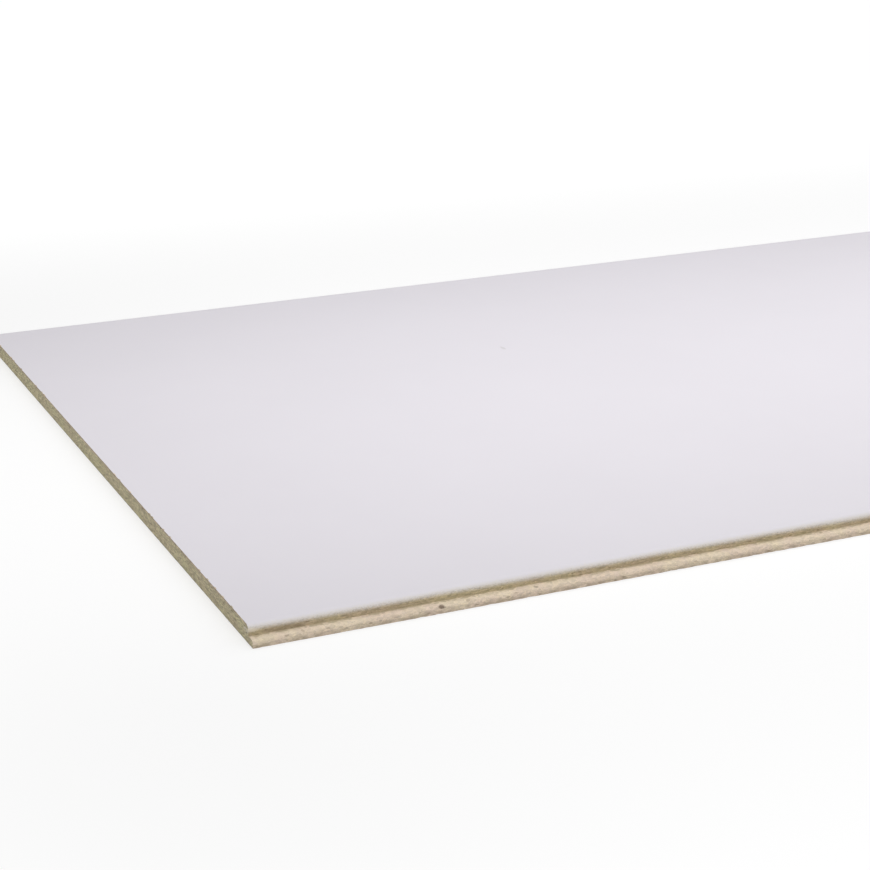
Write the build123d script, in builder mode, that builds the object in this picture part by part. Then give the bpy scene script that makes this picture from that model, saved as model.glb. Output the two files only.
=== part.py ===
"""Chipboard wall panel with lapped long edges, lying on its back with the painted face up.

Millimetres. X runs along the panel, Y across it and Z up. The origin is under the middle of the
panel, on the floor. The lip of the lap is on the -Y edge, and the rebate that covers the next
panel's lip is on the +Y edge. Both short ends are sawn square.
"""
import os

from build123d import *

# The sheet, where the cover width is what one panel covers of the wall
LENGTH = 2390.0
COVER_WIDTH = 613.0
THICKNESS = 11.0

# The lap along the two long edges
LIP_REACH = 7.0
LIP_THICKNESS = 4.7
NOSE_RADIUS = 3.0
LAP_CLEARANCE = 0.4

# The rounding where the painted face turns down into a long edge
FACE_EASING = 3.5

# Places across the panel that the section's corners share
overall_width = COVER_WIDTH + LIP_REACH
lip_nose = -overall_width / 2
shoulder = lip_nose + LIP_REACH
far_edge = overall_width / 2
rebate_wall = far_edge - LIP_REACH - LAP_CLEARANCE

# Height above the floor of the rebate's roof, just clear of the next panel's lip
rebate_roof = LIP_THICKNESS + LAP_CLEARANCE

with BuildPart() as wall_panel:
    # In the section's own plane X runs across the panel and Y up
    with BuildSketch(Plane.YZ) as section:
        with BuildLine():
            Polyline(
                (lip_nose, 0),
                (lip_nose, LIP_THICKNESS),
                (shoulder, LIP_THICKNESS),
                (shoulder, THICKNESS),
                (far_edge, THICKNESS),
                (far_edge, rebate_roof),
                (rebate_wall, rebate_roof),
                (rebate_wall, 0),
                close=True,
            )
        make_face()
        face_corners = section.vertices().group_by(Axis.Y)[-1]
        fillet(face_corners, FACE_EASING)
        nose_corner = section.vertices().group_by(Axis.X)[0].sort_by(Axis.Y)[-1]
        fillet(nose_corner, NOSE_RADIUS)
    extrude(amount=LENGTH / 2, both=True)

wall_panel.part.label = "wall_panel"

os.makedirs("parts", exist_ok=True)
export_step(wall_panel.part, "parts/wall_panel.step")
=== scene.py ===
import math

import bpy
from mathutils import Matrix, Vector, geometry, noise


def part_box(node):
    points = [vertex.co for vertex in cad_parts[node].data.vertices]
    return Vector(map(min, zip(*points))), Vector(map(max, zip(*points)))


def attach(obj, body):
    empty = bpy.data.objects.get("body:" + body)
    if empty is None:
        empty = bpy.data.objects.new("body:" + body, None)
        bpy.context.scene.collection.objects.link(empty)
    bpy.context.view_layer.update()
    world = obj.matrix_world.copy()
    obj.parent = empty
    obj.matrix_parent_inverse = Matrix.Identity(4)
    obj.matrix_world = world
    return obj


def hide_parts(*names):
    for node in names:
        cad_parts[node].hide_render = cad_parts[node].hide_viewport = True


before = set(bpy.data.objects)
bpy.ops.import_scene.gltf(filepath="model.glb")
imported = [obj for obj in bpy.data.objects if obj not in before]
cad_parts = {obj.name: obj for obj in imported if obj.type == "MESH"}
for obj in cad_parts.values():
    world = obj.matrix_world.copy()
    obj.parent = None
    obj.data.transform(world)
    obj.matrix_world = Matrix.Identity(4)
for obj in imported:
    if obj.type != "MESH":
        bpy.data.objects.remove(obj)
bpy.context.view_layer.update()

# A painted chipboard wall panel with lapped long edges, lying face up on a pale floor.
# Metres: X runs along the sheet, Y across it and Z up. The lip is on the low Y side.

MM = 0.001

# The panel's section
NODE = "wall_panel"
low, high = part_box(NODE)
LIP_REACH = 7 * MM
LIP_THICKNESS = 4.7 * MM
NOSE_RADIUS = 3 * MM
LAP_CLEARANCE = 0.4 * MM
FACE_EASING = 3.5 * MM
top = high.z
nose = low.y
shoulder = nose + LIP_REACH
far_edge = high.y
rebate_wall = far_edge - LIP_REACH - LAP_CLEARANCE
lip_top = low.z + LIP_THICKNESS
rebate_roof = lip_top + LAP_CLEARANCE

# Surfaces, in the order of the panel's material slots
PAINT, PAINT_EDGE, MILLED, SAWN, BACK = range(5)

# Parts of the texture map: the two lapped edges are cut into rows, the rest lies flat
FRONT, TOP, REAR, UNDER, LEFT_END, RIGHT_END = range(6)
EDGE_PARTS = (FRONT, REAR)
END_PARTS = (LEFT_END, RIGHT_END)
EDGE_ROWS = 4
MAP_GAP = 0.004
EDGE_ROW = 0.03
END_ROW = 0.018


# The section's outline

# Cells along its raw and rounded stretches
FOOT_CELLS = 3
ROUND_CELLS = 6
WIDE_CELLS = 6
REAR_CELLS = 5

# Width of the strips that join the fine edges to the plain face and back
FLAT_MARGIN = 3 * MM

# Directions from an arc's centre, in degrees
LEFTWARD, UPWARD, RIGHTWARD = 180, 90, 0

# Two points nearer than this are the same corner
SAME_PLACE = 0.01 * MM


def line(start, end, cells):
    """Points of a straight stretch, both ends included."""
    steps = [i / cells for i in range(cells + 1)]
    return [(start[0] + (end[0] - start[0]) * t, start[1] + (end[1] - start[1]) * t) for t in steps]


def arc(centre, radius, start_degrees, end_degrees):
    """Points of a round stretch, both ends included."""
    turn = end_degrees - start_degrees
    angles = [math.radians(start_degrees + turn * i / ROUND_CELLS) for i in range(ROUND_CELLS + 1)]
    return [(centre[0] + radius * math.cos(a), centre[1] + radius * math.sin(a)) for a in angles]


def outline(columns):
    """The section as (surface, map part, points) stretches, each ending where the next one starts."""
    nose_top = lip_top - NOSE_RADIUS
    nose_back = nose + NOSE_RADIUS
    face_foot = top - FACE_EASING
    near_flat = shoulder + FACE_EASING
    near_wide = near_flat + FLAT_MARGIN
    far_flat = far_edge - FACE_EASING
    far_wide = far_flat - FLAT_MARGIN
    back_far = rebate_wall - FLAT_MARGIN
    back_near = nose + FLAT_MARGIN
    return [
        (MILLED, FRONT, line((nose, 0), (nose, nose_top), FOOT_CELLS)),
        (MILLED, FRONT, arc((nose_back, nose_top), NOSE_RADIUS, LEFTWARD, UPWARD)),
        (MILLED, FRONT, line((nose_back, lip_top), (shoulder, lip_top), WIDE_CELLS)),
        (PAINT_EDGE, FRONT, line((shoulder, lip_top), (shoulder, face_foot), WIDE_CELLS)),
        (PAINT_EDGE, FRONT, arc((near_flat, face_foot), FACE_EASING, LEFTWARD, UPWARD)),
        (PAINT, TOP, line((near_flat, top), (near_wide, top), 1)),
        (PAINT, TOP, line((near_wide, top), (far_wide, top), columns)),
        (PAINT, TOP, line((far_wide, top), (far_flat, top), 1)),
        (PAINT_EDGE, REAR, arc((far_flat, face_foot), FACE_EASING, UPWARD, RIGHTWARD)),
        (PAINT_EDGE, REAR, line((far_edge, face_foot), (far_edge, rebate_roof), REAR_CELLS)),
        (MILLED, REAR, line((far_edge, rebate_roof), (rebate_wall, rebate_roof), WIDE_CELLS)),
        (MILLED, REAR, line((rebate_wall, rebate_roof), (rebate_wall, 0), REAR_CELLS)),
        (BACK, UNDER, line((rebate_wall, 0), (back_far, 0), 1)),
        (BACK, UNDER, line((back_far, 0), (back_near, 0), columns)),
        (BACK, UNDER, line((back_near, 0), (nose, 0), 1)),
    ]


def is_near(a, b):
    return math.dist(a, b) < SAME_PLACE


def outward(before, point, after):
    """The normal that points out of the section at a point of its outline."""
    ahead = (Vector(point) - Vector(before)).normalized() + (Vector(after) - Vector(point)).normalized()
    return Vector((-ahead.y, ahead.x)).normalized()


# Relief, always inwards. A noise is given by its dimension, lacunarity and octaves.

# Chips of the milled edges and the sawn ends
MILLED_RELIEF = 0.10 * MM
MILLED_GRAIN = 4 * MM
SAWN_RELIEF = 0.12 * MM
SAWN_GRAIN = 3 * MM
GRAIN_FLATNESS = 0.45
GRAIN_NOISE = (0.9, 2.2, 3)
GRAIN_MIDDLE = 0.5
GRAIN_SWING = 0.75

# Height of shoulder, under the face's rounding, over which the paint's smoothness gives way to chips
BARE_OVER = 3 * MM

# Crumbs that have left the sharp raw edges
SHARP_RAW = ((far_edge, rebate_roof), (rebate_wall, 0), (nose, 0))
ARRIS_WEAR = 0.25 * MM
CRUMB_SIZE = 4 * MM
CRUMB_NOISE = (0.8, 2.3, 3)
CRUMB_GAIN = 1.6
CRUMB_THRESHOLD = 0.2

# Chips in the paint along the sawn ends, which also drop by a share of their depth. The wood is bare
# where a chip drops by more than a trace
PAINT_CHIP = 0.2 * MM
PAINT_CHIP_SIZE = 2 * MM
PAINT_CHIP_NOISE = (0.7, 2.1, 3)
PAINT_CHIP_SEED = 3.3
PAINT_CHIP_THRESHOLD = 0.25
PAINT_CHIP_DROP = 0.6
PAINT_CHIP_TRACE = 0.03 * MM


def clamped(value):
    return min(1.0, max(0.0, value))


def unevenness(x, y, z, grain):
    """From 0 to 1, in chips that are longer along the sheet than through its thickness."""
    place = Vector((x / grain, y / grain, z / (GRAIN_FLATNESS * grain)))
    return clamped(GRAIN_MIDDLE + GRAIN_SWING * noise.fractal(place, *GRAIN_NOISE))


def crumbs(x, y, z):
    """Where a crumb has left a sharp raw edge: 0 where the edge is whole, up to 1."""
    place = Vector((x, y, z)) / CRUMB_SIZE
    return clamped(CRUMB_GAIN * noise.fractal(place, *CRUMB_NOISE) - CRUMB_THRESHOLD)


def wear_depth(x, point, surface):
    """How far a point of the outline has worn back from the clean section."""
    y, z = point
    depth = 0.0
    if surface == MILLED:
        depth = MILLED_RELIEF * unevenness(x, y, z, MILLED_GRAIN)
    elif surface == PAINT_EDGE:
        bare = clamped((top - FACE_EASING - z) / BARE_OVER)
        depth = MILLED_RELIEF * bare * unevenness(x, y, z, MILLED_GRAIN)
    if any(is_near(point, corner) for corner in SHARP_RAW):
        depth += ARRIS_WEAR * crumbs(x, y, z)
    return depth


def end_chip(y):
    """How far the paint has chipped back from a sawn end."""
    place = Vector((y / PAINT_CHIP_SIZE, PAINT_CHIP_SEED, 0.0))
    return PAINT_CHIP * max(0.0, noise.fractal(place, *PAINT_CHIP_NOISE) - PAINT_CHIP_THRESHOLD)


# The panel's mesh

# Loops along the sheet: their pitch, and the closer ones at the ends, which have more columns
STATION_PITCH = 1.8 * MM
END_STATIONS = (0.0, 0.6 * MM, 1.6 * MM, 4 * MM)
END_COLUMNS = 400

# Inner points of a sawn end: their pitch, their distance from the outline, how irregular they are as
# shares of the pitch, and where their noise is read
CAP_PITCH = 1.7 * MM
CAP_MARGIN = 0.8 * MM
CAP_JITTER = 0.35
CAP_LOWERED = 0.2
JITTER_STEP_ACROSS = 0.37
JITTER_STEP_UP = 0.71
JITTER_LAYER = 5.0
JITTER_SHIFT = Vector((9.0, 2.0, 1.0))

# The triangulation keeps what is inside the outline, and welds points this near, in millimetres
INSIDE_OUTLINE = 2
CAP_WELD = 1e-5

# Edges that turn by more than this stay sharp
SHARP_TURN = math.radians(38)


class PanelMesh:
    """Collects the sheet's vertices and faces, loop by loop from one end to the other.

    A loop or cap faces -1 at the left end, 1 at the right end and 0 between them.
    """

    def __init__(self):
        self.vertices = []
        self.distances = []
        self.faces = []
        self.surfaces = []
        self.parts = []

    def vertex(self, place, distance=0.0):
        """Adds a vertex with its distance along the outline, and returns its number."""
        self.vertices.append(tuple(place))
        self.distances.append(distance)
        return len(self.vertices) - 1

    def face(self, corners, surface, part, row=0):
        self.faces.append(corners)
        self.surfaces.append(surface)
        self.parts.append((part, row))

    def loop(self, x, columns, facing):
        """Adds the outline at x and returns its stretches as (surface, part, vertex numbers)."""
        stretches = outline(columns)
        points = [point for _, _, stretch in stretches for point in stretch[:-1]]
        owners = [surface for surface, _, stretch in stretches for _ in stretch[:-1]]
        first = len(self.vertices)
        walked = 0.0
        for i, point in enumerate(points):
            after = points[(i + 1) % len(points)]
            inwards = outward(points[i - 1], point, after) * -wear_depth(x, point, owners[i])
            place = Vector((x, point[0] + inwards.x, point[1] + inwards.y))
            if facing:
                chip = end_chip(point[0]) if owners[i] == PAINT else 0.0
                rough = SAWN_RELIEF * unevenness(x, *point, SAWN_GRAIN)
                place.x -= facing * (rough + chip)
                place.z -= PAINT_CHIP_DROP * chip
            self.vertex(place, walked)
            walked += math.dist(point, after)
        numbers = []
        at = 0
        for surface, part, stretch in stretches:
            run = [first + (at + k) % len(points) for k in range(len(stretch))]
            numbers.append((surface, part, run))
            at += len(stretch) - 1
        return numbers

    def join(self, left, right, row, is_chipped):
        """Faces between two neighbouring loops, one many-sided face where their columns differ."""
        for (surface, part, a), (_, _, b) in zip(left, right):
            if len(a) != len(b):
                self.face(b + a[::-1], surface, part, row)
                continue
            for k in range(len(a) - 1):
                corners = [a[k], b[k], b[k + 1], a[k + 1]]
                lowest = min(self.vertices[corner][2] for corner in corners)
                is_raw = is_chipped and surface == PAINT and lowest < top - PAINT_CHIP_TRACE
                self.face(corners, SAWN if is_raw else surface, part, row)

    def cap(self, x, loop, facing):
        """Fills a sawn end with small triangles that carry the saw's relief."""
        ring = [number for _, _, run in loop for number in run[:-1]]
        rim = [Vector(self.vertices[number][1:]) / MM for number in ring]
        inner = [Vector(place) / MM for place in inside_places()]
        edges = [(i, (i + 1) % len(rim)) for i in range(len(rim))]
        made = geometry.delaunay_2d_cdt(rim + inner, edges, [], INSIDE_OUTLINE, CAP_WELD)
        places, triangles, origins = made[0], made[2], made[3]
        numbers = []
        for place, origin in zip(places, origins):
            if origin and origin[0] < len(ring):
                numbers.append(ring[origin[0]])
                continue
            y, z = place * MM
            rough = SAWN_RELIEF * unevenness(x, y, z, SAWN_GRAIN)
            numbers.append(self.vertex((x - facing * rough, y, z)))
        part = RIGHT_END if facing > 0 else LEFT_END
        for triangle in triangles:
            corners = [numbers[i] for i in triangle]
            self.face(corners if facing > 0 else corners[::-1], SAWN, part)


def inside_places():
    """Places spread over a sawn end, clear of its outline."""
    places = []
    gap = CAP_MARGIN
    for i in range(1, int((far_edge - nose) / CAP_PITCH)):
        for k in range(1, int(top / CAP_PITCH) + 1):
            seed = Vector((i * JITTER_STEP_ACROSS, k * JITTER_STEP_UP, JITTER_LAYER))
            y = nose + (i + CAP_JITTER * noise.noise(seed)) * CAP_PITCH
            z = (k - CAP_LOWERED + CAP_JITTER * noise.noise(seed + JITTER_SHIFT)) * CAP_PITCH
            is_body = shoulder + gap < y < rebate_wall - gap and gap < z < top - gap
            is_lip = nose + gap < y <= shoulder + gap and gap < z < lip_top - gap
            is_overhang = rebate_wall - gap <= y < far_edge - gap and rebate_roof + gap < z < top - gap
            if is_body or is_lip or is_overhang:
                places.append((y, z))
    return places


def map_bands():
    """Low and high side of each part of the texture map, from the bottom up."""
    bands = {}
    level = MAP_GAP
    for part in END_PARTS:
        bands[part, 0] = (level, level + END_ROW)
        level += END_ROW + MAP_GAP
    for part in EDGE_PARTS:
        for row in range(EDGE_ROWS):
            bands[part, row] = (level, level + EDGE_ROW)
            level += EDGE_ROW + MAP_GAP
    height = (1 - level - MAP_GAP) / 2
    for part in (UNDER, TOP):
        bands[part, 0] = (level, level + height - MAP_GAP)
        level += height
    return bands


def edge_reach(sheet):
    """The least and greatest distance along the outline that each lapped edge takes up."""
    reach = {}
    for (part, _), corners in zip(sheet.parts, sheet.faces):
        if part in EDGE_PARTS:
            walked = [sheet.distances[corner] for corner in corners]
            had = reach.get(part, (min(walked), max(walked)))
            reach[part] = (min(had[0], *walked), max(had[1], *walked))
    return reach


def lay_map(mesh, sheet, row_starts):
    """Lays the faces out flat, with the narrow edges larger than their share of the sheet."""
    bands = map_bands()
    reach = edge_reach(sheet)
    places = []
    for (part, row), corners in zip(sheet.parts, sheet.faces):
        bottom, ceiling = bands[part, row if part in EDGE_PARTS else 0]
        for corner in corners:
            x, y, z = sheet.vertices[corner]
            if part in EDGE_PARTS:
                start, end = reach[part]
                across = (x - row_starts[row]) / (row_starts[row + 1] - row_starts[row])
                up = (sheet.distances[corner] - start) / (end - start)
            elif part in END_PARTS:
                across = (y - nose) / (far_edge - nose)
                up = z / top
            else:
                across = (x - low.x) / (high.x - low.x)
                up = (y - nose) / (far_edge - nose)
            places += [MAP_GAP + (1 - 2 * MAP_GAP) * across, bottom + (ceiling - bottom) * up]
    mesh.uv_layers.new(name="OFBake").uv.foreach_set("vector", places)


def add(name, data):
    made = bpy.data.objects.new(name, data)
    bpy.context.scene.collection.objects.link(made)
    return made


def build_panel(materials):
    """One closed mesh of the whole sheet, with its raw edges worn and its ends sawn."""
    sheet = PanelMesh()
    near_end = [low.x + step for step in END_STATIONS]
    far_end = [high.x - step for step in reversed(END_STATIONS)]
    count = round((far_end[0] - near_end[-1]) / STATION_PITCH)
    pitch = (far_end[0] - near_end[-1]) / count
    middle = [near_end[-1] + pitch * i for i in range(1, count)]
    stations = near_end + middle + far_end
    final = len(stations) - 1
    facings = {0: -1, final: 1}
    row_marks = [round(row * final / EDGE_ROWS) for row in range(EDGE_ROWS + 1)]

    loops = []
    for i, x in enumerate(stations):
        is_end = x in near_end or x in far_end
        loops.append(sheet.loop(x, END_COLUMNS if is_end else 1, facings.get(i, 0)))
        if i > 0:
            row = max(mark for mark in range(EDGE_ROWS) if row_marks[mark] < i)
            sheet.join(loops[i - 1], loops[i], row, is_chipped=i in (1, final))
    for i, facing in facings.items():
        sheet.cap(stations[i], loops[i], facing)

    mesh = bpy.data.meshes.new("panel")
    mesh.from_pydata(sheet.vertices, [], sheet.faces)
    mesh.polygons.foreach_set("material_index", sheet.surfaces)
    mesh.polygons.foreach_set("use_smooth", [True] * len(sheet.faces))
    lay_map(mesh, sheet, [stations[mark] for mark in row_marks])
    for material in materials:
        mesh.materials.append(material)
    mesh.set_sharp_from_angle(angle=SHARP_TURN)
    mesh.update()
    return add("panel", mesh)


# Materials

# Sockets of a mix of two colours
MIX_FACTOR, MIX_A, MIX_B = 0, 6, 7
MIX_RESULT = 2

# Noises: the range that holds most of their values, its middle, their levels of detail, and how strong
# each finer level usually is beside the one before
NOISE_RANGE = (0.3, 0.7)
NOISE_MIDDLE = (0.5, 0.5, 0.5)
PLAIN_DETAIL = 1.0
USUAL_DETAIL = 2.0
FINE_DETAIL = 3.0
USUAL_ROUGHNESS = 0.5


def opaque(colour):
    """A tint as a full colour. A colour that comes from a node stays as it is."""
    return (*colour, 1.0) if isinstance(colour, tuple) else colour


def toned(tint, tone):
    return tuple(part * share for part, share in zip(tint, tone))


class Graph:
    """A node tree whose nodes are made and linked in one call each."""

    def __init__(self, tree):
        self.tree = tree
        self.tree.nodes.clear()

    def node(self, kind, inputs=None, **settings):
        """Adds a node, sets or links its inputs, and returns its outputs."""
        made = self.tree.nodes.new(kind)
        for name, value in settings.items():
            setattr(made, name, value)
        for name, value in (inputs or {}).items():
            if isinstance(value, bpy.types.NodeSocket):
                self.tree.links.new(value, made.inputs[name])
            else:
                made.inputs[name].default_value = value
        return made.outputs

    def maths(self, operation, a, b=0.0):
        return self.node("ShaderNodeMath", {0: a, 1: b}, operation=operation)[0]

    def product(self, *factors):
        result = factors[0]
        for factor in factors[1:]:
            result = self.maths("MULTIPLY", result, factor)
        return result

    def vectors(self, operation, a, b):
        return self.node("ShaderNodeVectorMath", {0: a, 1: b}, operation=operation)[0]

    def length(self, vector):
        return self.node("ShaderNodeVectorMath", {0: vector}, operation="LENGTH")["Value"]

    def stretched(self, place, *sizes):
        return self.vectors("MULTIPLY", place, [1 / size for size in sizes])

    def axes(self, place):
        return self.node("ShaderNodeSeparateXYZ", {"Vector": place})

    def span(self, value, start, end, to_start=0.0, to_end=1.0, is_smooth=False):
        """Maps start to end onto another range and holds the values beyond at its ends."""
        inputs = {"Value": value, "From Min": start, "From Max": end, "To Min": to_start, "To Max": to_end}
        kind = "SMOOTHSTEP" if is_smooth else "LINEAR"
        return self.node("ShaderNodeMapRange", inputs, interpolation_type=kind)["Result"]

    def spread(self, value, to_start=0.0, to_end=1.0):
        """Maps a noise's usual range onto another."""
        return self.span(value, *NOISE_RANGE, to_start, to_end)

    def about_one(self, value, swing):
        """A factor that a noise swings to both sides of 1."""
        return self.spread(value, 1 - swing, 1 + swing)

    def blended(self, factor, a, b):
        inputs = {MIX_FACTOR: factor, MIX_A: opaque(a), MIX_B: opaque(b)}
        return self.node("ShaderNodeMix", inputs, data_type="RGBA")[MIX_RESULT]

    def dimmed(self, colour, lightness):
        return self.node("ShaderNodeVectorMath", {0: colour, "Scale": lightness}, operation="SCALE")[0]

    def toned(self, colour, tone):
        return self.vectors("MULTIPLY", colour, tone)

    def noise(self, place, size, detail=USUAL_DETAIL, roughness=USUAL_ROUGHNESS):
        inputs = {"Vector": place, "Scale": 1 / size, "Detail": detail, "Roughness": roughness}
        return self.node("ShaderNodeTexNoise", inputs)

    def cells(self, place):
        return self.node("ShaderNodeTexVoronoi", {"Vector": place, "Scale": 1.0})

    def picks(self, colour):
        return self.node("ShaderNodeSeparateColor", {"Color": colour})


def new_material(name):
    material = bpy.data.materials.new(name)
    material.use_nodes = True
    return material, Graph(material.node_tree)


def object_place(graph):
    return graph.node("ShaderNodeTexCoord")["Object"]


# The dull shader that ends every material of the panel
DULL_SPECULAR = 0.3
BUMP_STRENGTH = 0.6


def finish_surface(graph, colour, rough, height, bump_depth):
    """Ends a material in one dull shader, with its finest relief as bump."""
    bump = {"Height": height, "Strength": BUMP_STRENGTH, "Distance": bump_depth}
    inputs = {"Base Color": colour, "Roughness": rough, "Specular IOR Level": DULL_SPECULAR}
    inputs["Normal"] = graph.node("ShaderNodeBump", bump)["Normal"]
    shader = graph.node("ShaderNodeBsdfPrincipled", inputs)["BSDF"]
    graph.node("ShaderNodeOutputMaterial", {"Surface": shader})


# Each surface's chipboard: its tint, the length and thickness of its chips, and their contrast
MILLED_TINT = (0.788, 0.666, 0.520)
# The shoulder's tint is darker than the lip's: painted shade of the upright face above the ledge, on the
# wood's own olive tone
SHADED_SHOULDER_TINT = (0.512, 0.432, 0.286)
SAWN_TINT = (0.722, 0.655, 0.440)
BACK_TINT = (0.62, 0.51, 0.37)
MILLED_WOOD = (MILLED_TINT, 3.8 * MM, 0.8 * MM, 0.16)
SHADED_SHOULDER_WOOD = (SHADED_SHOULDER_TINT, 4.5 * MM, 0.8 * MM, 0.25)
SAWN_WOOD = (SAWN_TINT, 4.8 * MM, 0.55 * MM, 0.36)
BACK_WOOD = (BACK_TINT, 7 * MM, 3 * MM, 0.2)

# How far chips stray from a regular layout, in slow wanders and small jags
WANDER_SIZE = 6 * MM
WANDER_REACH = (3 * MM, 3 * MM, 0.8 * MM)
JAG_SIZE = 1.1 * MM
JAG_REACH = (2.2 * MM, 2.2 * MM, 0.7 * MM)

# Chips lie in patches, along the sheet or turned by an angle in radians, with crumbs among them. Sizes are
# shares of a chip's length, and the crumbs' thickness is a share of its thickness
CHIP_WIDTH = 0.5
TURNED_CHIP_WIDTH = 0.45
CHIP_TURN = 1.1
CHIP_PATCH = 1.5
PATCH_BORDER = (0.45, 0.55)
CRUMB_LENGTH = 0.3
CRUMB_THICKNESS = 0.5

# Fibres and slow clouds in the wood
FIBRE_SIZE = 0.4 * MM
FIBRE_SHAPE = (1.0, 1.0, 0.4)
WOOD_CLOUD = 14 * MM

# How much lighter the light chips are and how much the crumbs vary, as shares of the contrast, and how
# much the fibres and clouds vary the lightness
LIGHT_CHIPS = 0.8
CRUMB_CONTRAST = 0.5
FIBRE_SWING = 0.10
WOOD_CLOUD_SWING = 0.04

# Tones of single chips
STRAW_TONE = (1.01, 1.0, 0.955)
PALE_TONE = (1.0, 0.99, 1.02)

# Scattered pits and specks of bark: their cells, the soft edge of a spot in its cell, the channel of the
# cell's random colour that says which cells have one, and from where on. The pits' darker tone is painted
# shade in their hollows
PITS = ((5 * MM, 4 * MM, 1.8 * MM), (0.18, 0.34), "Red", (0.76, 0.82))
PIT_SHADE_STRENGTH = 0.65
PIT_SHADE_TONE = (0.5, 0.44, 0.38)
BARK_SPECKS = ((15 * MM, 15 * MM, 5 * MM), (0.05, 0.10), "Blue", (0.80, 0.84))
BARK_STRENGTH = 0.75
BARK = (0.17, 0.12, 0.085)

# Shares of the relief
CHIP_RELIEF = 0.5
FIBRE_RELIEF = 0.5
PIT_RELIEF = 0.8


def strayed(graph, start, place, size, detail, reach):
    """Moves start by a noise that is read at a place."""
    stray = graph.vectors("SUBTRACT", graph.noise(place, size, detail)["Color"], NOISE_MIDDLE)
    return graph.vectors("ADD", start, graph.vectors("MULTIPLY", stray, reach))


def scattered(graph, place, cell_sizes, soft_edge, channel, chance):
    """Soft spots in some cells of a random layout: 1 in their middle, 0 outside."""
    cells = graph.cells(graph.stretched(place, *cell_sizes))
    inside = graph.span(cells["Distance"], *soft_edge, 1.0, 0.0, True)
    return graph.product(inside, graph.span(graph.picks(cells["Color"])[channel], *chance))


def chipboard(graph, place, tint, chip, depth, contrast):
    """Colour and relief of pressed chips that lie flat in the sheet, and the place strayed with them."""
    loose = strayed(graph, place, place, WANDER_SIZE, USUAL_DETAIL, WANDER_REACH)
    loose = strayed(graph, loose, place, JAG_SIZE, FINE_DETAIL, JAG_REACH)
    turn = {"Vector": loose, "Angle": CHIP_TURN}
    turned = graph.node("ShaderNodeVectorRotate", turn, rotation_type="Z_AXIS")[0]
    lengthways = graph.cells(graph.stretched(loose, chip, CHIP_WIDTH * chip, depth))["Color"]
    sideways = graph.cells(graph.stretched(turned, chip, TURNED_CHIP_WIDTH * chip, depth))["Color"]
    share = graph.span(graph.noise(place, CHIP_PATCH * chip)["Fac"], *PATCH_BORDER)
    flake = graph.picks(graph.blended(share, lengthways, sideways))
    crumb_sizes = (CRUMB_LENGTH * chip, CRUMB_LENGTH * chip, CRUMB_THICKNESS * depth)
    crumb = graph.picks(graph.cells(graph.stretched(loose, *crumb_sizes))["Color"])
    fibre = graph.noise(graph.stretched(place, *FIBRE_SHAPE), FIBRE_SIZE, FINE_DETAIL)["Fac"]
    cloud = graph.noise(place, WOOD_CLOUD)["Fac"]

    crumb_contrast = CRUMB_CONTRAST * contrast
    lightness = graph.product(
        graph.span(flake["Red"], 0, 1, 1 - contrast, 1 + LIGHT_CHIPS * contrast),
        graph.span(crumb["Green"], 0, 1, 1 - crumb_contrast, 1 + crumb_contrast),
        graph.about_one(fibre, FIBRE_SWING),
        graph.about_one(cloud, WOOD_CLOUD_SWING),
    )
    wood = graph.blended(flake["Green"], toned(tint, STRAW_TONE), toned(tint, PALE_TONE))
    wood = graph.dimmed(wood, lightness)
    pit = scattered(graph, loose, *PITS)
    # Painted shade in the pits
    wood = graph.blended(graph.product(pit, PIT_SHADE_STRENGTH), wood, toned(tint, PIT_SHADE_TONE))
    bark = scattered(graph, loose, *BARK_SPECKS)
    wood = graph.blended(graph.product(bark, BARK_STRENGTH), wood, BARK)

    height = graph.product(flake["Blue"], CHIP_RELIEF)
    height = graph.maths("ADD", height, graph.product(fibre, FIBRE_RELIEF))
    height = graph.maths("SUBTRACT", height, graph.product(pit, PIT_RELIEF))
    return wood, height, loose


# Where a spot's edge starts and ends, as shares of its half sizes
SPOT_EDGE = (0.6, 1.2)


def spot(graph, place, centre, half_sizes, strength):
    """A soft-edged spot: its strength in the middle, 0 outside."""
    offset = graph.stretched(graph.vectors("SUBTRACT", place, centre), *half_sizes)
    return graph.span(graph.length(offset), *SPOT_EDGE, strength, 0.0, True)


def from_corner(offset):
    """A place given from the left end, the shoulder and the floor."""
    return (low.x + offset[0], shoulder + offset[1], offset[2])


# Patches of redder and greener wood, and the soft border between them
HUE_PATCH = 14 * MM
HUE_BORDER = (0.38, 0.62)
REDDER_TONE = (1.012, 0.99, 1.012)
GREENER_TONE = (0.99, 1.005, 0.975)


def two_hued(graph, place, wood):
    """Wood in patches of two hues."""
    share = graph.span(graph.noise(place, HUE_PATCH, PLAIN_DETAIL)["Fac"], *HUE_BORDER)
    return graph.blended(share, graph.toned(wood, REDDER_TONE), graph.toned(wood, GREENER_TONE))


# White paint: its tint and faint clouds, its stipple, the patches of its roughness, and its bump
PAINT_TINT = (0.794, 0.766, 0.814)
PAINT_CLOUD = 160 * MM
PAINT_CLOUD_TONE = (0.985, 0.985, 0.985)
STIPPLE_SIZE = 1.6 * MM
STIPPLE_ROUGHNESS = 0.4
PAINT_PATCH = 30 * MM
PAINT_ROUGHNESS = (0.68, 0.78)
PAINT_BUMP = 0.02 * MM

# A speck in the paint, from the left end, the shoulder and the floor
PAINT_SPECK = (355.5 * MM, 409.6 * MM, top)
PAINT_SPECK_SIZE = (1.6 * MM, 4.5 * MM, 1 * MM)
PAINT_SPECK_STRENGTH = 0.35
SPECK_GREY = (0.5, 0.48, 0.47)


def white_paint(graph, place):
    """Factory paint: near white, faintly clouded, with a fine roller stipple."""
    cloud = graph.noise(place, PAINT_CLOUD, FINE_DETAIL)["Fac"]
    colour = graph.blended(graph.spread(cloud), PAINT_TINT, toned(PAINT_TINT, PAINT_CLOUD_TONE))
    stipple = graph.noise(place, STIPPLE_SIZE, USUAL_DETAIL, STIPPLE_ROUGHNESS)["Fac"]
    return colour, stipple


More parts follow.
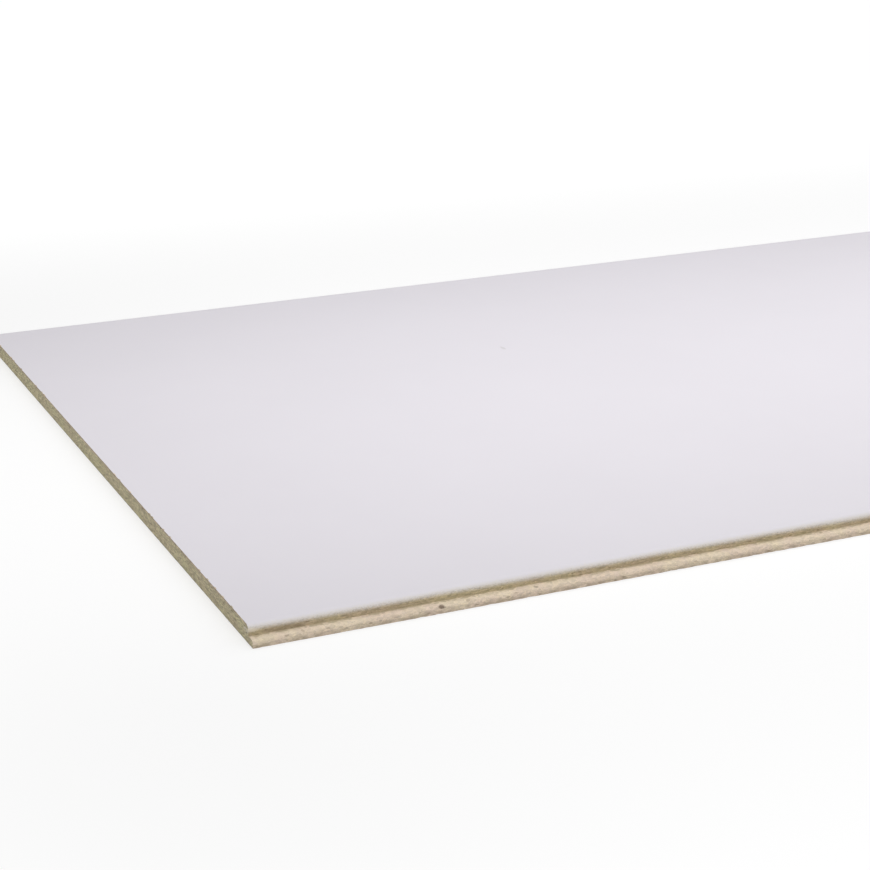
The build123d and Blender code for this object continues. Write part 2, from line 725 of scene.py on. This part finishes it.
def painted_face():
    """The white face."""
    material, graph = new_material("painted_face")
    place = object_place(graph)
    colour, stipple = white_paint(graph, place)
    speck = spot(graph, place, from_corner(PAINT_SPECK), PAINT_SPECK_SIZE, PAINT_SPECK_STRENGTH)
    colour = graph.blended(speck, colour, SPECK_GREY)
    rough = graph.spread(graph.noise(place, PAINT_PATCH)["Fac"], *PAINT_ROUGHNESS)
    finish_surface(graph, colour, rough, stipple, PAINT_BUMP)
    return material


# Depths below the face where the paint starts to thin and where it ends, how far its specks stray from
# there, and how its border rises and falls along the edge
PAINT_WHOLE = 0.8 * MM
PAINT_GONE = 4.6 * MM
PAINT_SPECKLE = 0.6 * MM
SPECKLE_SIZE = 0.5 * MM
SPECKLE_SHAPE = (2.0, 1.0, 1.0)
BORDER_WAVE = 70 * MM
BORDER_SWING = 0.12

# The warmer tone of thin paint, and the depths over which it is reached
THIN_TONE = (1.04, 1.03, 0.95)
THIN_DEPTHS = (0.2 * MM, 1.2 * MM)

# A light flake round the left end's front corner and a darker stretch at the shoulder's foot beside it,
# from the left end, the shoulder and the floor
FLAKE_ON_END = (0.0, 3.5 * MM, 7.0 * MM)
FLAKE_ON_SHOULDER = (1.5 * MM, 0.0, 7.7 * MM)
FLAKE_SIZE = (5 * MM, 4.5 * MM, 1.3 * MM)
SHOULDER_FLAKE_STRENGTH = 0.5
CREAM = (0.97, 0.88, 0.72)
DARK_FOOT = (20 * MM, 0.0, 5.9 * MM)
DARK_FOOT_SIZE = (14 * MM, 3 * MM, 1.8 * MM)
DARK_FOOT_STRENGTH = 0.35

# Roughness of the bare and the painted edge, the stipple's share of the relief, and the bump
EDGE_ROUGHNESS = (0.85, 0.73)
STIPPLE_RELIEF = 0.1
EDGE_BUMP = 0.2 * MM


def painted_edge():
    """The eased long edges, where the paint thins out over the shoulder down to bare chipboard in a tint
    darkened with painted shade.
    """
    material, graph = new_material("painted_edge")
    place = object_place(graph)
    # The shoulder's wood is darkened with painted shade
    wood, wood_height, loose = chipboard(graph, place, *SHADED_SHOULDER_WOOD)
    wood = two_hued(graph, place, wood)
    dark = spot(graph, loose, from_corner(DARK_FOOT), DARK_FOOT_SIZE, DARK_FOOT_STRENGTH)
    wood = graph.blended(dark, wood, BARK)

    paint, stipple = white_paint(graph, place)
    speckle = graph.noise(graph.stretched(place, *SPECKLE_SHAPE), SPECKLE_SIZE, FINE_DETAIL)["Fac"]
    wave = graph.noise(place, BORDER_WAVE, PLAIN_DETAIL)["Fac"]
    depth = graph.maths("SUBTRACT", top, graph.axes(place)["Z"])
    depth = graph.product(depth, graph.about_one(wave, BORDER_SWING))
    depth = graph.maths("ADD", depth, graph.spread(speckle, -PAINT_SPECKLE, PAINT_SPECKLE))
    cover = graph.span(depth, PAINT_WHOLE, PAINT_GONE, 1.0, 0.0, True)
    paint = graph.blended(graph.span(depth, *THIN_DEPTHS), paint, graph.toned(paint, THIN_TONE))
    colour = graph.blended(cover, wood, paint)
    flake = spot(graph, loose, from_corner(FLAKE_ON_SHOULDER), FLAKE_SIZE, SHOULDER_FLAKE_STRENGTH)
    colour = graph.blended(flake, colour, CREAM)

    rough = graph.span(cover, 0.0, 1.0, *EDGE_ROUGHNESS)
    bare = graph.maths("SUBTRACT", 1.0, cover)
    height = graph.product(wood_height, bare)
    height = graph.maths("ADD", height, graph.product(stipple, cover, STIPPLE_RELIEF))
    finish_surface(graph, colour, rough, height, EDGE_BUMP)
    return material


# The calmer top of the lip: the heights over which it sets in, and its strength
CALM_HEIGHTS = (lip_top - 1.6 * MM, lip_top - 0.3 * MM)
CALM_STRENGTH = 0.3

# Dark chips on the lip's nose: distance from the left end, height, half length, half height and strength.
# Their distance behind the nose's front and their half depth are the same for all
DARK_CHIPS = (
    (113.3 * MM, 3.7 * MM, 2.0 * MM, 1.2 * MM, 0.85),
    (75.0 * MM, 2.6 * MM, 1.1 * MM, 0.5 * MM, 0.4),
    (55.0 * MM, 2.0 * MM, 1.2 * MM, 0.5 * MM, 0.4),
)
DARK_CHIP_BEHIND = 0.5 * MM
DARK_CHIP_REACH = 2.5 * MM

# Painted shade at the nose's foot next to the floor, in a dark mottle that fades out between two heights
FOOT_SHADE_SIZE = 2.2 * MM
FOOT_SHADE_SHAPE = (2.2, 1.0, 1.0)
FOOT_SHADE_BORDER = (0.40, 0.62)
FOOT_SHADE_HEIGHTS = (0.9 * MM, 3.2 * MM)
FOOT_SHADE_STRENGTH = 0.55
FOOT_SHADE_TONE = (0.45, 0.41, 0.36)

# Painted shade in the corner under the shoulder: the shoulder's darkened colour runs out over the ledge
# with a ragged border
RAGGED_SIZE = 3 * MM
RAGGED_SHAPE = (1.6, 1.0, 1.0)
RAGGED_RANGE = (0.36, 0.66)
RAGGED_REACH = (0.1 * MM, 3.2 * MM)
CORNER_SHADE_EDGE = (-0.9 * MM, 0.3 * MM)
CORNER_SHADE_STRENGTH = 0.8

MILLED_ROUGHNESS = (0.92, 0.78)
MILLED_BUMP = 0.25 * MM


def milled_edge():
    """Bare chipboard of the lip and the rebate, with a few dark chips, and painted shade at the nose's
    foot and in the corner under the shoulder.
    """
    material, graph = new_material("milled_edge")
    place = object_place(graph)
    wood, height, loose = chipboard(graph, place, *MILLED_WOOD)
    axes = graph.axes(place)
    calm = graph.span(axes["Z"], *CALM_HEIGHTS, 0.0, CALM_STRENGTH)
    wood = graph.blended(calm, wood, MILLED_TINT)
    for from_end, up, half_length, half_height, strength in DARK_CHIPS:
        centre = (low.x + from_end, nose + DARK_CHIP_BEHIND, up)
        chip = spot(graph, loose, centre, (half_length, DARK_CHIP_REACH, half_height), strength)
        wood = graph.blended(chip, wood, BARK)
    wood = two_hued(graph, place, wood)

    # Painted shade, darker towards the floor
    foot_shade = graph.noise(graph.stretched(place, *FOOT_SHADE_SHAPE), FOOT_SHADE_SIZE, FINE_DETAIL)["Fac"]
    low_down = graph.span(axes["Z"], *FOOT_SHADE_HEIGHTS, FOOT_SHADE_STRENGTH, 0.0)
    foot_shade = graph.product(graph.span(foot_shade, *FOOT_SHADE_BORDER), low_down)
    wood = graph.blended(foot_shade, wood, toned(MILLED_TINT, FOOT_SHADE_TONE))

    # Painted shade where the ledge meets the shoulder
    ragged = graph.noise(graph.stretched(place, *RAGGED_SHAPE), RAGGED_SIZE, FINE_DETAIL)["Fac"]
    ragged = graph.span(ragged, *RAGGED_RANGE, *RAGGED_REACH)
    away = graph.maths("ABSOLUTE", graph.maths("SUBTRACT", axes["Y"], shoulder))
    corner = graph.span(graph.maths("SUBTRACT", away, ragged), *CORNER_SHADE_EDGE, CORNER_SHADE_STRENGTH, 0.0)
    wood = graph.blended(corner, wood, SHADED_SHOULDER_TINT)

    rough = graph.span(height, 0.0, 1.0, *MILLED_ROUGHNESS)
    finish_surface(graph, wood, rough, height, MILLED_BUMP)
    return material


# Faint upright lines left by the saw
KERF_SIZE = 0.8 * MM
KERF_SHAPE = (1.0, 1.0, 14.0)
KERF_SWING = 0.04
KERF_RELIEF = 0.4

# Darker skins of the sheet under the paint and at the back, with wavy borders. A skin's colour comes in
# between its two heights
SKIN_WAVE_SIZE = 5 * MM
SKIN_WAVE = 0.4 * MM
TOP_SKIN_HEIGHTS = (top - 1.6 * MM, top - 1.12 * MM)
TOP_SKIN_TONE = (0.93, 0.86, 0.93)
BACK_SKIN_HEIGHTS = (0.72 * MM, 1.2 * MM)
BACK_SKIN_TONE = (0.88, 0.87, 0.88)

# How the wood's relief shows through the light flake: the relief's range, and the flake's strength there
FLAKE_RELIEF = (0.2, 0.8)
END_FLAKE_STRENGTH = (0.4, 1.0)

# The relief's greatest value with the saw's lines, the roughness over that range, and the bump
SAWN_HEIGHT = 1.4
SAWN_ROUGHNESS = (0.95, 0.82)
SAWN_BUMP = 0.2 * MM


def sawn_end():
    """Greener chipboard where the saw crossed the sheet, with faint upright lines."""
    material, graph = new_material("sawn_end")
    place = object_place(graph)
    wood, height, loose = chipboard(graph, place, *SAWN_WOOD)
    wood = two_hued(graph, place, wood)
    kerf = graph.noise(graph.stretched(place, *KERF_SHAPE), KERF_SIZE)["Fac"]
    wood = graph.dimmed(wood, graph.about_one(kerf, KERF_SWING))

    wave = graph.spread(graph.noise(place, SKIN_WAVE_SIZE)["Fac"], -SKIN_WAVE, SKIN_WAVE)
    wavy = graph.maths("ADD", graph.axes(place)["Z"], wave)
    skin = graph.span(wavy, *TOP_SKIN_HEIGHTS)
    wood = graph.blended(skin, wood, graph.toned(wood, TOP_SKIN_TONE))
    skin = graph.span(wavy, *BACK_SKIN_HEIGHTS, 1.0, 0.0)
    wood = graph.blended(skin, wood, graph.toned(wood, BACK_SKIN_TONE))

    flake = spot(graph, loose, from_corner(FLAKE_ON_END), FLAKE_SIZE, 1.0)
    flake = graph.product(flake, graph.span(height, *FLAKE_RELIEF, *END_FLAKE_STRENGTH))
    wood = graph.blended(flake, wood, CREAM)
    height = graph.maths("ADD", height, graph.product(kerf, KERF_RELIEF))
    rough = graph.span(height, 0.0, SAWN_HEIGHT, *SAWN_ROUGHNESS)
    finish_surface(graph, wood, rough, height, SAWN_BUMP)
    return material


BACK_ROUGHNESS = (0.85, 0.7)
BACK_BUMP = 0.1 * MM


def raw_back():
    """Sanded chipboard with its chips lying flat."""
    material, graph = new_material("raw_back")
    place = object_place(graph)
    wood, height, _ = chipboard(graph, place, *BACK_WOOD)
    rough = graph.span(height, 0.0, 1.0, *BACK_ROUGHNESS)
    finish_surface(graph, wood, rough, height, BACK_BUMP)
    return material


# Studio

# The floor: its shade, its half side, how far it lies under the panel's back, the lift that it shows to
# the camera beside the panel and further away, and the distance over which that changes
FLOOR_SHADE = (0.5, 0.5, 0.5)
FLOOR_HALF = 60.0
FLOOR_DROP = 0.05 * MM
FLOOR_LIFTS = (0.55, 0.74)
FLOOR_LIFT_REACH = 0.55

# Light from all round, from the front, and from a long lamp low over the panel
WHITE = (1.0, 1.0, 1.0)
AMBIENT = 0.338
SUN_POWER = 1.033
SUN_WIDTH = math.radians(60)
SUN_FROM = Vector((-0.25, -0.965, 0.78))
LAMP_POWER = 4.8
LAMP_SIZE = (2.7, 0.75)
LAMP_PLACE = (0.0, -0.03, 0.41)


def seen_directly(graph):
    """1 for rays that show the background itself, directly or in a reflection."""
    path = graph.node("ShaderNodeLightPath")
    seen = graph.maths("MAXIMUM", path["Is Camera Ray"], path["Is Glossy Ray"])
    return graph.maths("MAXIMUM", seen, path["Is Transmission Ray"])


def build_floor():
    """A plain pale floor that keeps the panel's shadow."""
    material, graph = new_material("floor")
    plain = graph.node("ShaderNodeBsdfDiffuse", {"Color": opaque(FLOOR_SHADE)})[0]
    across = graph.node("ShaderNodeVectorMath", {0: object_place(graph)}, operation="ABSOLUTE")[0]
    past = graph.vectors("SUBTRACT", across, (high.x, high.y, 0.0))
    past = graph.vectors("MAXIMUM", past, (0.0, 0.0, 0.0))
    lift = graph.span(graph.length(past), 0.0, FLOOR_LIFT_REACH, *FLOOR_LIFTS, True)
    strength = graph.product(seen_directly(graph), lift)
    glow = graph.node("ShaderNodeEmission", {"Strength": strength})[0]
    both = graph.node("ShaderNodeAddShader", {0: plain, 1: glow})[0]
    graph.node("ShaderNodeOutputMaterial", {"Surface": both})

    signs = ((-1, -1), (1, -1), (1, 1), (-1, 1))
    corners = [(FLOOR_HALF * x, FLOOR_HALF * y, 0.0) for x, y in signs]
    mesh = bpy.data.meshes.new("floor")
    mesh.from_pydata(corners, [], [range(len(corners))])
    mesh.materials.append(material)
    floor = add("floor", mesh)
    floor.location.z = -FLOOR_DROP


def build_light():
    """Soft light from the front and all round, with a long lamp low over the panel."""
    world = bpy.data.worlds.new("studio")
    bpy.context.scene.world = world
    world.use_nodes = True
    graph = Graph(world.node_tree)
    strength = graph.span(seen_directly(graph), 0.0, 1.0, AMBIENT, 1.0)
    back = graph.node("ShaderNodeBackground", {"Color": opaque(WHITE), "Strength": strength})[0]
    graph.node("ShaderNodeOutputWorld", {"Surface": back})

    sun = bpy.data.lights.new("front", "SUN")
    sun.energy = SUN_POWER
    sun.angle = SUN_WIDTH
    add("front", sun).rotation_euler = SUN_FROM.to_track_quat("Z", "Y").to_euler()

    lamp = bpy.data.lights.new("lamp", "AREA")
    lamp.shape = "RECTANGLE"
    lamp.size, lamp.size_y = LAMP_SIZE
    lamp.energy = LAMP_POWER
    overhead = add("lamp", lamp)
    overhead.location = LAMP_PLACE
    overhead.visible_camera = False


# The photograph's viewpoint, from the face's left front corner. The focal length is in pixels
IMAGE_SIDE = 870
FOCAL_PIXELS = 2068.7
SENSOR_WIDTH = 36.0
CAMERA_FROM_CORNER = Vector((-331.4, -976.3, 467.4)) * MM
LEVEL = math.radians(90)
PITCH_DOWN = math.radians(19.231)
TURN_RIGHT = math.radians(24.400)


def build_camera():
    data = bpy.data.cameras.new("camera")
    data.sensor_width = SENSOR_WIDTH
    data.lens = FOCAL_PIXELS * SENSOR_WIDTH / IMAGE_SIDE
    camera = add("camera", data)
    camera.location = Vector((low.x, shoulder, top)) + CAMERA_FROM_CORNER
    camera.rotation_euler = (LEVEL - PITCH_DOWN, 0.0, -TURN_RIGHT)
    bpy.context.scene.camera = camera


bpy.context.scene.view_settings.view_transform = "Standard"
panel = build_panel([painted_face(), painted_edge(), milled_edge(), sawn_end(), raw_back()])
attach(panel, "root")
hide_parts(NODE)
build_floor()
build_light()
build_camera()
